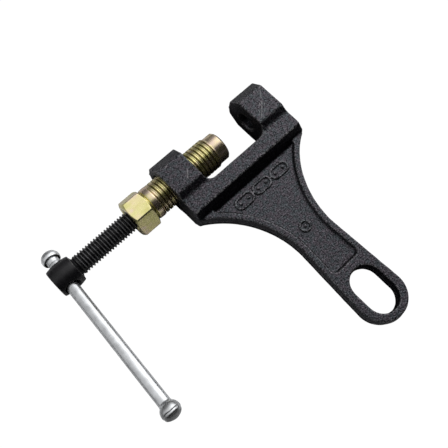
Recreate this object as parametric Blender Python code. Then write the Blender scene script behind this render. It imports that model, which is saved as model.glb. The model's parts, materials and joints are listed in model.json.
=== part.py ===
"""Screw-type chain tool for motorcycle-size roller chain: a forged U-shaped head
with a flat hanging handle, a hollow threaded guide bolt that holds the chain
against the anvil, and a push screw with a sliding bar that drives a loose pin.

+X runs along the screw axis towards the anvil, the handle runs towards -Y, and the
tool lies flat with +Z up. The origin is the centre of the crossbar's flat underside.
Sizes are in mm, and places are counted from the screw axis. In the names, X, Y and Z
are places (Z also a half thickness), R is a radius and W a half width.
"""

import math

import bmesh
import bpy
from mathutils import Matrix, Vector

MM = 0.001


# -------------------------------------------------------------------- scene helpers
def clear_scene():
    for obj in list(bpy.data.objects):
        bpy.data.objects.remove(obj, do_unlink=True)
    for mesh in list(bpy.data.meshes):
        bpy.data.meshes.remove(mesh)


def material(name, colour, metallic, roughness):
    mat = bpy.data.materials.new(name)
    mat.use_nodes = True
    shader = mat.node_tree.nodes["Principled BSDF"]
    shader.inputs["Base Color"].default_value = (*colour, 1.0)
    shader.inputs["Metallic"].default_value = metallic
    shader.inputs["Roughness"].default_value = roughness
    return mat


def empty(name, location, parent=None, rotation=(0.0, 0.0, 0.0)):
    """An empty at a location in mm."""
    obj = bpy.data.objects.new(name, None)
    obj.location = [c * MM for c in location]
    obj.rotation_euler = rotation
    obj.parent = parent
    bpy.context.scene.collection.objects.link(obj)
    return obj


def mesh_object(name, bm, parent):
    bmesh.ops.remove_doubles(bm, verts=bm.verts, dist=1e-7)
    bmesh.ops.recalc_face_normals(bm, faces=bm.faces)
    mesh = bpy.data.meshes.new(name)
    bm.to_mesh(mesh)
    bm.free()
    obj = bpy.data.objects.new(name, mesh)
    bpy.context.scene.collection.objects.link(obj)
    obj.parent = parent
    return obj


def piece(name, bm, parent, mat, sharp_angle=28.0):
    """A visible part, shaded smooth up to sharp_angle degrees between faces."""
    obj = mesh_object(name, bm, parent)
    obj.data.materials.append(mat)
    obj.data.shade_smooth()
    obj.data.set_sharp_from_angle(angle=math.radians(sharp_angle))
    return obj


def add_form(owner, name, bm, operation):
    """A hidden helper solid that is joined to, cut from or intersected with its owner."""
    form = mesh_object(name, bm, owner.parent)
    form.hide_render = True
    form.display_type = "WIRE"
    modifier = owner.modifiers.new(f"{operation}_{name}", "BOOLEAN")
    modifier.operation = operation
    modifier.solver = "EXACT"
    modifier.object = form
    return form


# ----------------------------------------------------------------- geometry helpers
def skin(outlines):
    """A closed solid through outlines of (x, y, z) points, all of equal length."""
    bm = bmesh.new()
    rings = [[bm.verts.new((x * MM, y * MM, z * MM)) for x, y, z in pts] for pts in outlines]
    count = len(rings[0])
    for low, high in zip(rings, rings[1:]):
        for i in range(count):
            j = (i + 1) % count
            bm.faces.new((low[i], low[j], high[j], high[i]))
    bm.faces.new(rings[0][::-1])
    bm.faces.new(rings[-1])
    return bm


def loft(levels):
    """A closed solid through flat outlines: [(z, [(x, y), ...]), ...]."""
    return skin([[(x, y, z) for x, y in outline] for z, outline in levels])


def lathe(profile, segments):
    """Turns (axial, radius) points about the X axis. The profile ends on the axis."""
    bm = bmesh.new()
    rings = []
    for x, radius in profile:
        if radius < 1e-6:
            rings.append([bm.verts.new((x * MM, 0.0, 0.0))])
            continue
        ring = []
        for i in range(segments):
            a = 2 * math.pi * i / segments
            point = (x * MM, radius * math.cos(a) * MM, radius * math.sin(a) * MM)
            ring.append(bm.verts.new(point))
        rings.append(ring)
    for one, two in zip(rings, rings[1:]):
        for i in range(segments):
            j = (i + 1) % segments
            if len(one) == 1:
                bm.faces.new((one[0], two[j], two[i]))
            elif len(two) == 1:
                bm.faces.new((one[i], one[j], two[0]))
            else:
                bm.faces.new((one[i], one[j], two[j], two[i]))
    return bm


def turn_about_z(bm, degrees):
    matrix = Matrix.Rotation(math.radians(degrees), 3, "Z")
    bmesh.ops.rotate(bm, verts=bm.verts, cent=(0, 0, 0), matrix=matrix)
    return bm


def arc(centre, radius, start, end, steps):
    angles = [start + (end - start) * k / steps for k in range(steps + 1)]
    return [
        (centre[0] + radius * math.cos(a), centre[1] + radius * math.sin(a)) for a in angles
    ]


def mirrored(points):
    """The points mirrored to the other side of x = 0, in reverse order."""
    return [(-x, y) for x, y in reversed(points)]


# --------------------------------------------------------------------- forged frame
POST_TOP_Z = 8.4
POST_IN_X, POST_OUT_X = 14.95, 26.95  # inner and outer face of a post, at its top
POST_TOP_Y0, POST_TOP_Y1 = -6.9, 4.7  # flat top of a post
POST_SPREAD = 0.15  # added to each side face below the top
POST_BACK_SLOPE = 1.25  # handle side of the raised top, Y per Z
POST_SINK = 0.5  # raised top's overlap into the crossbar's level
NOSE_Y, NOSE_Z = 9.5, 4.2  # blunt +Y end of a post, and its half height
NOSE_SLOPE = (NOSE_Y - POST_TOP_Y1) / (POST_TOP_Z - NOSE_Z)  # Y per Z above the blunt end
CROSSBAR_Z = 6.2
U_FLOOR_Y = -10.4  # floor of the U, on the crossbar's edge
CROSSBAR_Y = -16.4  # handle side of the crossbar's flat
FOOT_Y = -18.6  # where the crossbar meets the handle plate
DRAFT = 0.35  # forging draft from a face's edge to the parting plane
U_FILLET_R = 3.2

PLATE_Z = 3.3  # half thickness of the handle rim
PLATE_BULGE = 0.2  # how far the plate's edge swells between its faces
PLATE_SINK = 3.0  # plate's overlap into the crossbar
SHOULDER_DROP = 0.4  # from the foot to the first flank station
NECK_Y, NECK_W = -52.0, 7.9  # narrowest place of the handle
FLANK_R = 39.2  # concave flank
STATION_POWER = 1.15  # crowds the flank stations towards the crossbar
END_Y, END_R = -82.1, 9.45  # round end of the handle
FLANK_END_W = END_R - 0.12

RIM = 2.0  # rim left around the recessed panel
PANEL_DEPTH = 1.5
PANEL_Y0, PANEL_Y1 = -18.9, -66.3
PANEL_FLOOR_INSET, PANEL_MOUTH_INSET = 0.45, -0.15
PANEL_OVERSHOOT = 0.6  # cutter above the plate's face
PANEL_FLANK_DROP = 2.6  # from the panel's top edge to the first flank station
PANEL_CORNER_W = 0.4  # corner beyond the first flank station
PANEL_CORNER = [(1.4, 0.0), (0.2, 0.7), (0.0, 1.7)]  # (in from the side, down from the top)

SLOT_Y0, SLOT_Y1, SLOT_R = -75.7, -82.5, 6.2  # hanging slot
SLOT_FLARE = 1.0
SLOT_FLARE_SINK, SLOT_OVERSHOOT = 0.3, 0.8  # flare's ends, below and above the face

# Holes through the posts: where the wide mouth starts and ends, the plain bore
# starts and ends, and the other wide mouth starts and ends.
GUIDE_BORE_R, GUIDE_BORE_FLARE = 6.8, 1.0
GUIDE_BORE_XS = (-40.0, -28.2, -27.1, -14.9, -13.8, -10.0)
EXIT_R, EXIT_FLARE = 3.6, 0.8  # hole in the anvil that lets a driven chain pin out
EXIT_XS = (10.0, 13.9, 15.2, 26.8, 28.1, 34.0)

SCREW_AXIS = (0.0, -0.5 * (U_FLOOR_Y + CROSSBAR_Y), CROSSBAR_Z)  # seen from the origin


def flank(y, inset=0.0):
    """Half width of the handle plate at y: a concave arc into a slight taper outwards."""
    if y > NECK_Y:
        radius = FLANK_R + inset
        return NECK_W + FLANK_R - math.sqrt(radius * radius - (y - NECK_Y) ** 2)
    taper = (FLANK_END_W - NECK_W) / (END_Y - NECK_Y)
    return NECK_W + taper * (y - NECK_Y) - inset


def flank_stations(top, bottom, upper_steps, lower_steps):
    """Y stations from top to the neck, then from the neck to bottom."""
    upper = [
        top - (top - NECK_Y) * (k / upper_steps) ** STATION_POWER
        for k in range(upper_steps + 1)
    ]
    lower = [NECK_Y + (bottom - NECK_Y) * k / lower_steps for k in range(1, lower_steps + 1)]
    return upper + lower


def plate_outline(grow=0.0):
    """Right side down, round the end, and left side up."""
    stations = flank_stations(FOOT_Y - SHOULDER_DROP, END_Y, 14, 4)
    right = [(flank(y) + grow, y) for y in stations]
    right.insert(0, (right[0][0], FOOT_Y + PLATE_SINK))
    round_end = arc((0.0, END_Y), END_R + grow, 0.0, -math.pi, 20)[1:-1]
    return right + round_end + mirrored(right)


def head_outline(z):
    """The U of the head at a level z between the crossbar's two faces."""
    height = abs(z)
    draft = DRAFT * (1.0 - height / CROSSBAR_Z)
    out_x = POST_OUT_X + POST_SPREAD + draft
    in_x = POST_IN_X - POST_SPREAD - draft
    floor = U_FLOOR_Y + draft
    end_y = NOSE_Y - max(0.0, height - NOSE_Z) * NOSE_SLOPE
    foot_share = min(1.0, (CROSSBAR_Z - height) / (CROSSBAR_Z - PLATE_Z))
    back = CROSSBAR_Y - foot_share * (CROSSBAR_Y - FOOT_Y)
    fillet_centre = (in_x - U_FILLET_R, floor + U_FILLET_R)
    fillet = arc(fillet_centre, U_FILLET_R, 0.0, -math.pi / 2, 6)
    right = [(out_x, back), (out_x, end_y), (in_x, end_y), *fillet]
    return right + mirrored(right)


def post_top(side, sign):
    """The raised flat of a post, from just inside the crossbar's level up to its face."""
    low_z = CROSSBAR_Z - POST_SINK
    rise = POST_TOP_Z - low_z

    def box(spread, y0, y1):
        in_x, out_x = side * (POST_IN_X - spread), side * (POST_OUT_X + spread)
        return [(in_x, y0), (out_x, y0), (out_x, y1), (in_x, y1)]

    low_y0 = POST_TOP_Y0 - rise * POST_BACK_SLOPE
    low_y1 = POST_TOP_Y1 + NOSE_SLOPE * rise
    return loft([
        (sign * low_z, box(POST_SPREAD, low_y0, low_y1)),
        (sign * POST_TOP_Z, box(0.0, POST_TOP_Y0, POST_TOP_Y1)),
    ])


def panel_outline(inset):
    """The recessed panel inside the rim."""
    top, bottom = PANEL_Y0 - inset, PANEL_Y1 + inset
    stations = flank_stations(top - PANEL_FLANK_DROP, bottom, 12, 2)
    side = [(flank(y, RIM + inset), y) for y in stations]
    wide = side[0][0] + PANEL_CORNER_W
    right = [(wide - dx, top - dy) for dx, dy in PANEL_CORNER] + side
    return right + mirrored(right)


def panel(sign):
    return loft([
        (sign * (PLATE_Z - PANEL_DEPTH), panel_outline(PANEL_FLOOR_INSET)),
        (sign * (PLATE_Z + PANEL_OVERSHOOT), panel_outline(PANEL_MOUTH_INSET)),
    ])


def slot():
    def stadium(radius):
        upper = arc((0.0, SLOT_Y0), radius, 0.0, math.pi, 14)
        return upper + arc((0.0, SLOT_Y1), radius, math.pi, 2 * math.pi, 14)

    reach = PLATE_Z + SLOT_OVERSHOOT
    straight = PLATE_Z - SLOT_FLARE_SINK
    return loft([
        (-reach, stadium(SLOT_R + SLOT_FLARE)),
        (-straight, stadium(SLOT_R)),
        (straight, stadium(SLOT_R)),
        (reach, stadium(SLOT_R + SLOT_FLARE)),
    ])


def flared_bore(radius, flare, xs, segments):
    wide = radius + flare
    radii = (wide, wide, radius, radius, wide, wide)
    return lathe([(xs[0], 0.0), *zip(xs, radii), (xs[-1], 0.0)], segments)


def build_frame(mat, datum):
    plate = loft([
        (-PLATE_Z, plate_outline()),
        (-PLATE_Z * 0.5, plate_outline(PLATE_BULGE)),
        (PLATE_Z * 0.5, plate_outline(PLATE_BULGE)),
        (PLATE_Z, plate_outline()),
    ])
    frame = piece("frame", plate, datum, mat, sharp_angle=20.0)
    levels = [-CROSSBAR_Z, -NOSE_Z, -PLATE_Z, 0.0, PLATE_Z, NOSE_Z, CROSSBAR_Z]
    add_form(frame, "tool_head_form", loft([(z, head_outline(z)) for z in levels]), "UNION")
    faces = ((1, "upper"), (-1, "lower"))
    for side, post in ((-1, "guide"), (1, "anvil")):
        for sign, face in faces:
            add_form(frame, f"tool_{post}_post_{face}", post_top(side, sign), "UNION")
    for sign, face in faces:
        add_form(frame, f"tool_panel_{face}", panel(sign), "DIFFERENCE")
    add_form(frame, "tool_slot", slot(), "DIFFERENCE")
    guide_bore = flared_bore(GUIDE_BORE_R, GUIDE_BORE_FLARE, GUIDE_BORE_XS, 40)
    add_form(frame, "tool_guide_bore", guide_bore, "DIFFERENCE")
    exit_hole = flared_bore(EXIT_R, EXIT_FLARE, EXIT_XS, 32)
    add_form(frame, "tool_exit_hole", exit_hole, "DIFFERENCE")


# ----------------------------------------------------------------------- guide bolt
GUIDE_R = 6.5
GUIDE_NECK_R = GUIDE_R - 0.9
THREAD_R = GUIDE_R - 0.12
HEX_FLAT_R = 14.3 / 2  # half the width across flats
HEX_CORNER_R = HEX_FLAT_R / math.cos(math.pi / 6)
HEX_X0, HEX_X1 = -44.6, -36.4
HEX_TURN = math.radians(28.5)
HEX_FACE_R = HEX_FLAT_R - 0.1  # round face left by the chamfer
HEX_CLEAR_R = HEX_CORNER_R + 0.05  # just outside the corners
HEX_CHAMFER_L = (HEX_CORNER_R - HEX_FLAT_R) * math.tan(math.radians(30)) + 0.15
GUIDE_NECK_X1, COLLAR_X1 = -35.3, -33.0
THREAD_X1, GUIDE_NOSE_X1, GUIDE_NOSE_R = -4.0, 0.6, 5.9
GUIDE_NOSE_BEVEL = 0.7
SCREW_BORE_R, SCREW_BORE_X1 = 4.35, -4.0
BORE_MOUTH_R = SCREW_BORE_R + 0.8
PIN_HOLE_R = 2.7

# (axial, radius)
GUIDE_BOLT_PROFILE = [
    (HEX_X1 - 1.0, 0.0),
    (HEX_X1 - 1.0, GUIDE_NECK_R),
    (GUIDE_NECK_X1, GUIDE_NECK_R),
    (GUIDE_NECK_X1 + 0.15, GUIDE_R),
    (COLLAR_X1 - 0.2, GUIDE_R + 0.1),
    (COLLAR_X1, THREAD_R),
    (THREAD_X1 - 0.5, THREAD_R),
    (THREAD_X1, GUIDE_NOSE_R),
    (GUIDE_NOSE_X1 - GUIDE_NOSE_BEVEL, GUIDE_NOSE_R),
    (GUIDE_NOSE_X1, GUIDE_NOSE_R - GUIDE_NOSE_BEVEL),
    (GUIDE_NOSE_X1, 0.0),
]
HEX_CHAMFER_PROFILE = [
    (HEX_X0, 0.0),
    (HEX_X0, HEX_FACE_R),
    (HEX_X0 + HEX_CHAMFER_L, HEX_CLEAR_R),
    (HEX_X1 - HEX_CHAMFER_L, HEX_CLEAR_R),
    (HEX_X1, HEX_FACE_R),
    (HEX_X1, 0.0),
]
GUIDE_BOLT_BORE_PROFILE = [
    (HEX_X0 - 3.0, 0.0),
    (HEX_X0 - 3.0, BORE_MOUTH_R),
    (HEX_X0 - 0.1, BORE_MOUTH_R),
    (HEX_X0 + 0.7, SCREW_BORE_R),
    (SCREW_BORE_X1 - 1.6, SCREW_BORE_R),
    (SCREW_BORE_X1, PIN_HOLE_R),
    (GUIDE_NOSE_X1 + 2.0, PIN_HOLE_R),
    (GUIDE_NOSE_X1 + 2.0, 0.0),
]


def hexagon():
    angles = [HEX_TURN + math.pi / 3 * k for k in range(6)]
    return skin([
        [(x, HEX_CORNER_R * math.sin(a), HEX_CORNER_R * math.cos(a)) for a in angles]
        for x in (HEX_X0, HEX_X1)
    ])


def build_guide_bolt(mat, datum):
    bolt = piece("guide_bolt", lathe(GUIDE_BOLT_PROFILE, 40), datum, mat)
    hex_head = add_form(bolt, "tool_hexagon", hexagon(), "UNION")
    add_form(hex_head, "tool_hex_chamfers", lathe(HEX_CHAMFER_PROFILE, 48), "INTERSECT")
    add_form(bolt, "tool_bolt_bore", lathe(GUIDE_BOLT_BORE_PROFILE, 32), "DIFFERENCE")


# ----------------------------------------------------------------------- push screw
SCREW_R = 4.0
SCREW_THREAD_R = SCREW_R - 0.08
SCREW_GROOVE_R = SCREW_R - 0.55
HEAD_X0, HEAD_X1 = -79.75, -70.4
HEAD_MID_X = 0.5 * (HEAD_X0 + HEAD_X1)
HEAD_END_R, HEAD_MID_R = 5.3, 5.95
HEAD_FACE_R = HEAD_END_R - 0.5
BARREL_SHARE = 0.93  # share of the head's length that is barrelled
SCREW_TIP_X = -30.6
DOG_R, DOG_L, DOG_BEVEL = 3.1, 2.2, 0.4
CROSS_HOLE_X = HEAD_MID_X - 0.535  # the sliding bar's place along the screw
CROSS_HOLE_R = 2.85
CROSS_HOLE_MOUTH_R = CROSS_HOLE_R + 1.7
SCREW_TURN = math.radians(-12.0)  # the screw rests with the bar's long end raised

# (axial, radius), from the head's inner face to the tip
SHANK_PROFILE = [
    (HEAD_X1, HEAD_FACE_R),
    (HEAD_X1 + 0.4, SCREW_R + 0.35),
    (HEAD_X1 + 0.9, SCREW_GROOVE_R),
    (HEAD_X1 + 1.6, SCREW_GROOVE_R),
    (HEAD_X1 + 2.1, SCREW_THREAD_R),
    (SCREW_TIP_X - DOG_L - 0.9, SCREW_THREAD_R),
    (SCREW_TIP_X - DOG_L, DOG_R),
    (SCREW_TIP_X - DOG_BEVEL, DOG_R),
    (SCREW_TIP_X, DOG_R - DOG_BEVEL),
    (SCREW_TIP_X, 0.0),
]
# (axial, radius), from the middle of the head
CROSS_HOLE_PROFILE = [
    (-9.0, 0.0), (-9.0, CROSS_HOLE_MOUTH_R), (-5.0, CROSS_HOLE_R),
    (5.0, CROSS_HOLE_R), (9.0, CROSS_HOLE_MOUTH_R), (9.0, 0.0),
]


def build_push_screw(mat, screw_axis):
    half = 0.5 * (HEAD_X1 - HEAD_X0)
    barrel = []
    for k in range(9):
        u = -1.0 + 2.0 * k / 8
        radius = HEAD_END_R + (HEAD_MID_R - HEAD_END_R) * (1 - u * u)
        barrel.append((HEAD_MID_X + half * u * BARREL_SHARE, radius))
    bm = lathe([(HEAD_X0, 0.0), (HEAD_X0, HEAD_FACE_R), *barrel, *SHANK_PROFILE], 36)
    # The screw's origin is at its cross hole.
    bmesh.ops.translate(bm, verts=bm.verts, vec=Vector((-CROSS_HOLE_X * MM, 0.0, 0.0)))
    screw = piece("push_screw", bm, screw_axis, mat)
    hole = turn_about_z(lathe(CROSS_HOLE_PROFILE, 32), 90)
    add_form(screw, "tool_cross_hole", hole, "DIFFERENCE")


# ------------------------------------------------------------------------ drive pin
PIN_HEAD_R, PIN_HEAD_X0, PIN_HEAD_X1 = 3.9, -30.25, -27.3
PIN_HEAD_BEVEL = 0.4
PIN_R, PIN_TIP_X, PIN_TIP_BEVEL = 2.3, -1.0, 0.5

# (axial, radius)
DRIVE_PIN_PROFILE = [
    (PIN_HEAD_X0, 0.0),
    (PIN_HEAD_X0, PIN_HEAD_R - PIN_HEAD_BEVEL),
    (PIN_HEAD_X0 + PIN_HEAD_BEVEL, PIN_HEAD_R),
    (PIN_HEAD_X1, PIN_HEAD_R),
    (PIN_HEAD_X1 + 0.9, PIN_R + 0.5),
    (PIN_HEAD_X1 + 1.6, PIN_R),
    (PIN_TIP_X - PIN_TIP_BEVEL, PIN_R),
    (PIN_TIP_X, PIN_R - PIN_TIP_BEVEL),
    (PIN_TIP_X, 0.0),
]


def build_drive_pin(mat, datum):
    piece("drive_pin", lathe(DRIVE_PIN_PROFILE, 32), datum, mat)


# ---------------------------------------------------------------------- sliding bar
# T is the place along the bar, from the cross hole towards the long end.
BAR_R = 2.27
BAR_COCK = math.radians(-2.2)  # slack of the bar in its hole
CAP_T, CAP_T1 = -10.0, -6.9  # end cap: middle of its bulb, and its inner end
KNOB_T = 62.4  # middle of the upset end's bulb
KNOB_NECK = 3.4  # from the knob's middle back to the plain bar
# (outwards, radius) from a bulb's middle
BULB = [(-2.7, 2.5), (-1.9, 3.1), (-0.9, 3.47), (0.0, 3.57), (0.5, 3.48)]
DOME_START, DOME_H, DOME_R = 0.58, 2.0, 3.3  # low dome closing each end
SPIGOT_R, SPIGOT_T, SPIGOT_BEVEL = 1.6, -10.6, 0.2
SHOULDER_T = CAP_T1 + 0.35  # where the spigot meets the full bar
SOCKET_R, SOCKET_T = SPIGOT_R + 0.32, SPIGOT_T - 0.35  # hole in the cap


def bulb_end():
    """Outer profile of a bulb, outwards to the tip of its low dome."""
    angles = [math.radians(90) * k / 7 for k in range(8)]
    dome = [(DOME_START + DOME_H * math.sin(a), DOME_R * math.cos(a)) for a in angles]
    return BULB + dome


def bar_piece(name, profile, mat, bar_axis):
    """A turned part with the lathe's +X laid along the bar, local -Y."""
    piece(name, turn_about_z(lathe(profile, 32), -90), bar_axis, mat)


def build_tommy_bar(mat, bar_axis):
    profile = [
        (SPIGOT_T, 0.0),
        (SPIGOT_T, SPIGOT_R - SPIGOT_BEVEL),
        (SPIGOT_T + SPIGOT_BEVEL, SPIGOT_R),
        (SHOULDER_T, SPIGOT_R),
        (SHOULDER_T, BAR_R),
        (KNOB_T - KNOB_NECK, BAR_R),
        *[(KNOB_T + out, radius) for out, radius in bulb_end()],
    ]
    bar_piece("tommy_bar", profile, mat, bar_axis)


def build_end_cap(mat, bar_axis):
    profile = [
        *[(CAP_T - out, radius) for out, radius in reversed(bulb_end())],
        (CAP_T1, BAR_R + 0.04),
        (CAP_T1, SOCKET_R),
        (SOCKET_T, SOCKET_R),
        (SOCKET_T, 0.0),
    ]
    bar_piece("bar_end_cap", profile, mat, bar_axis)


def main():
    clear_scene()
    black = material(
        "forged_black", colour=(0.045, 0.045, 0.052), metallic=0.55, roughness=0.62
    )
    gold = material("yellow_zinc", colour=(0.62, 0.52, 0.22), metallic=0.9, roughness=0.33)
    oxide = material("black_oxide", colour=(0.02, 0.02, 0.022), metallic=0.6, roughness=0.42)
    silver = material("bright_zinc", colour=(0.66, 0.67, 0.69), metallic=0.95, roughness=0.3)
    steel = material(
        "hardened_steel", colour=(0.36, 0.35, 0.34), metallic=0.95, roughness=0.35
    )

    datum = empty("screw_datum", SCREW_AXIS)
    screw_axis = empty("screw_axis", (CROSS_HOLE_X, 0.0, 0.0), datum, (SCREW_TURN, 0.0, 0.0))
    bar_axis = empty("bar_axis", (0.0, 0.0, 0.0), screw_axis, (0.0, 0.0, BAR_COCK))

    build_frame(black, datum)
    build_guide_bolt(gold, datum)
    build_drive_pin(steel, datum)
    build_push_screw(oxide, screw_axis)
    build_tommy_bar(silver, bar_axis)
    build_end_cap(silver, bar_axis)
    bpy.context.view_layer.update()


main()
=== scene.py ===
"""Chain tool: a forged black frame, a yellow-zinc guide bolt, a black push screw with its
sliding bar, and the loose drive pin inside.

The screw axis lies along X, with the guide bolt on the -X side and the handle towards -Y.
The frame's two faces look along +Z and -Z."""

import itertools
import json
import math

import bpy
import numpy as np
from mathutils import Matrix, Vector

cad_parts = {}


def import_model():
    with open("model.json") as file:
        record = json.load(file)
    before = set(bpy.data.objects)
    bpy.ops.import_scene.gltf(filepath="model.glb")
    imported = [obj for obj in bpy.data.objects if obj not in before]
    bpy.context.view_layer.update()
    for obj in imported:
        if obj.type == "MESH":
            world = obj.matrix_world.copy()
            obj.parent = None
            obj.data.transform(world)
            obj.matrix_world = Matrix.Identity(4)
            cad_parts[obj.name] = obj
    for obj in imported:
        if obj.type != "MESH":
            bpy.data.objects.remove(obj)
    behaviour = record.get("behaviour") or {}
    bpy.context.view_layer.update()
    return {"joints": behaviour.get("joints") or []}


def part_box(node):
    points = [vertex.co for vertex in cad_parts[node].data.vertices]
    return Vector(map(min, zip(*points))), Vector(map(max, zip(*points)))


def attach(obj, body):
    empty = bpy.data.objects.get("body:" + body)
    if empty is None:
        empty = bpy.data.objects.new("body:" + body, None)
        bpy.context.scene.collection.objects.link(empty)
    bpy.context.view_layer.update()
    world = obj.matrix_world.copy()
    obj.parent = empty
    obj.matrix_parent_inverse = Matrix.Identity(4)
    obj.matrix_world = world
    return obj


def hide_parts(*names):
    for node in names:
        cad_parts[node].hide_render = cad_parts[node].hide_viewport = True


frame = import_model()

MM = 0.001
CORNERS = list(itertools.product((0, 1), repeat=3))  # of a unit cell

# ---------------------------------------------------------------- datums of the CAD
pin_low, pin_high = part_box("drive_pin")
AXIS = np.array([0.0, 0.5 * (pin_low.y + pin_high.y), 0.5 * (pin_low.z + pin_high.z)]) / MM
joints = {joint["name"]: joint for joint in frame["joints"]}
# centre of the screw's cross hole, from the screw axis datum
CROSS_HOLE = np.array(joints["screw_turn"]["pos_m"], float) / MM - AXIS
BAR_DIR = np.array(joints["bar_slide"]["axis"], float)
BAR_DIR /= np.linalg.norm(BAR_DIR)

# All sizes below are in mm, counted from the screw axis; Z sizes hold for both faces.
POST_TOP_Z, POST_IN_X, POST_OUT_X = 8.4, 14.95, 26.95
DRAFT = 0.0565  # widening of the forged sides per mm of depth
CROSSBAR_Z, WEB_Z, PANEL_Z = 6.2, 3.3, 1.8
U_FLOOR_Y, CROSSBAR_Y, FOOT_Y = -10.4, -16.4, -18.6
NOSE_Y, NOSE_Z = 9.5, 4.2  # lower edge of the posts' sloped noses
NECK_Y, NECK_W, FLANK_R = -52.0, 7.9, 39.2
NECK_BLEND = 3.0  # half the length over which flank and taper blend
END_Y, END_R = -82.1, 9.45
SLOT_Y0, SLOT_Y1, SLOT_R = -75.7, -82.5, 6.2  # hanging slot

# Sloped faces: (y, z) of the upper edge, then of the lower one
CROSSBAR_SLOPE = (CROSSBAR_Y, CROSSBAR_Z), (FOOT_Y, WEB_Z)
POST_STEP = (-6.9, POST_TOP_Z), (-10.275, 5.7)
POST_NOSE = (4.7, POST_TOP_Z), (NOSE_Y, NOSE_Z)

# Forged-in marks
LINK_Y, LINK_PITCH = -23.8, 8.95
MARK_X, RING_Y = -0.3, -46.1
LINK_HALF, LINK_R = 1.9, 2.05
MARK_HALF_WIDTH = 0.42
MARK_HEIGHT = 0.65
NO_MARK = 9.0  # distance given where no mark is near


# ------------------------------------------------------------------ distance fields
def unit(value):
    return np.clip(value, 0, 1)


def ease(share):
    """Smooth step of a share 0..1."""
    return share * share * (3 - 2 * share)


def meet(first, second, radius):
    """Intersection with a rounded edge."""
    outside = np.hypot(np.maximum(first + radius, 0), np.maximum(second + radius, 0))
    return np.minimum(np.maximum(first, second), -radius) + outside


def join(first, second, radius):
    """Union with a filleted corner."""
    inside = np.hypot(np.maximum(radius - first, 0), np.maximum(radius - second, 0))
    return np.maximum(np.minimum(first, second), radius) - inside


def lattice(cell_x, cell_y, cell_z, seed):
    """Repeatable random value in -1..1 at a lattice point."""
    mixed = cell_x * 374761393 + cell_y * 668265263 + cell_z * 2147483647 + seed * 1274126177
    mixed = mixed & 0xFFFFFFFF
    mixed = ((mixed ^ (mixed >> 13)) * 1274126177) & 0xFFFFFFFF
    mixed = mixed ^ (mixed >> 16)
    return (mixed & 0xFFFF) / 32767.5 - 1.0


def noise(x, y, z, size, seed):
    """Smooth value noise in -1..1 with features about `size` mm."""
    cells, shares = [], []
    for coord, offset in ((x, 100.0), (y, 300.0), (z, 50.0)):
        scaled = coord / size + offset
        cell = np.floor(scaled).astype(np.int64)
        cells.append(cell)
        shares.append(ease(scaled - cell))
    total = 0.0
    for corner in CORNERS:
        weight = 1.0
        for upper, share in zip(corner, shares):
            weight = weight * (share if upper else 1 - share)
        total = total + weight * lattice(*(c + upper for c, upper in zip(cells, corner)), seed)
    return total


def stadium(along, across, start, end, radius):
    """Distance to a stadium whose middle line runs from start to end."""
    return np.hypot(along - np.clip(along, start, end), across) - radius


def slope(y, abs_z, face):
    """Distance to the plane through a sloped face's upper and lower edge."""
    (top_y, top_z), (foot_y, foot_z) = face
    normal_y = math.copysign(top_z - foot_z, foot_y - top_y)
    normal_z = abs(foot_y - top_y)
    length = round(math.hypot(normal_y, normal_z), 3)
    return ((y - top_y) * normal_y + (abs_z - top_z) * normal_z) / length


def flank_distance(x, y):
    """Signed distance to the handle's outline: concave flanks, slight taper, round end."""
    abs_x = np.abs(x)
    arc = FLANK_R - np.hypot(abs_x - (NECK_W + FLANK_R), y - NECK_Y)
    taper = (END_R - NECK_W) / (END_Y - NECK_Y)
    line = (abs_x - NECK_W - taper * (y - NECK_Y)) / math.hypot(1.0, taper)
    end = np.hypot(abs_x, y - END_Y) - END_R
    blend = ease(unit((y - NECK_Y + NECK_BLEND) / (2 * NECK_BLEND)))
    return np.where(y < END_Y, end, arc * blend + line * (1 - blend))


def relief(x, y):
    """Distance in plan to the marks: a row of three plain chain links and a small ring."""
    mark = np.full_like(x, NO_MARK)
    for link_x in (MARK_X - LINK_PITCH, MARK_X, MARK_X + LINK_PITCH):
        link = stadium(x - link_x, y - LINK_Y, -LINK_HALF, LINK_HALF, LINK_R)
        mark = np.minimum(mark, np.abs(link) - MARK_HALF_WIDTH)
        for dot_x in (-LINK_HALF, LINK_HALF):
            mark = np.minimum(mark, np.hypot(x - link_x - dot_x, y - LINK_Y) - 0.62)
    for bridge_x in (-4.77, 4.18):
        bridge = np.maximum(np.abs(x - bridge_x) - 0.5, np.abs(y - LINK_Y) - 0.4)
        mark = np.minimum(mark, bridge)
    from_ring = np.hypot(x - MARK_X, y - RING_Y)
    mark = np.minimum(mark, np.abs(from_ring - 1.95) - MARK_HALF_WIDTH)
    return np.minimum(mark, from_ring - 0.6)


def head_form(abs_x, y, abs_z):
    """The two posts and the crossbar between them: a U with sloped faces."""
    draft = DRAFT * (POST_TOP_Z - abs_z)
    outer = abs_x - (POST_OUT_X + draft)
    u_floor = U_FLOOR_Y + 0.35 * (1 - abs_z / CROSSBAR_Z) - y
    gap = meet(abs_x - (POST_IN_X - draft), u_floor, 3.2)
    u_form = meet(outer, -gap, 0.55)

    back = slope(y, abs_z, CROSSBAR_SLOPE)
    back = meet(back, FOOT_Y - 0.25 * (1 - abs_z / WEB_Z) - y, 0.15)
    base = meet(abs_z - CROSSBAR_Z, back, 0.38)
    raised = meet(abs_z - POST_TOP_Z, slope(y, abs_z, POST_STEP), 0.4)
    profile = join(base, raised, 0.6)
    profile = meet(profile, slope(y, abs_z, POST_NOSE), 0.45)
    profile = meet(profile, y - NOSE_Y - DRAFT * np.maximum(NOSE_Z - abs_z, 0), 0.7)
    head = meet(u_form, profile, 0.5)
    return np.maximum(head, meet(outer, back, 1.0))


def plate_form(abs_x, y, abs_z, side):
    """The handle's flat plate, before its panels are sunk."""
    plate = meet(side - 0.22 * (1 - abs_z / WEB_Z), abs_x - 27.25, 1.1)
    plate = meet(plate, abs_z - WEB_Z, 0.42)
    return np.maximum(plate, y + 14.5)


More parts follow.
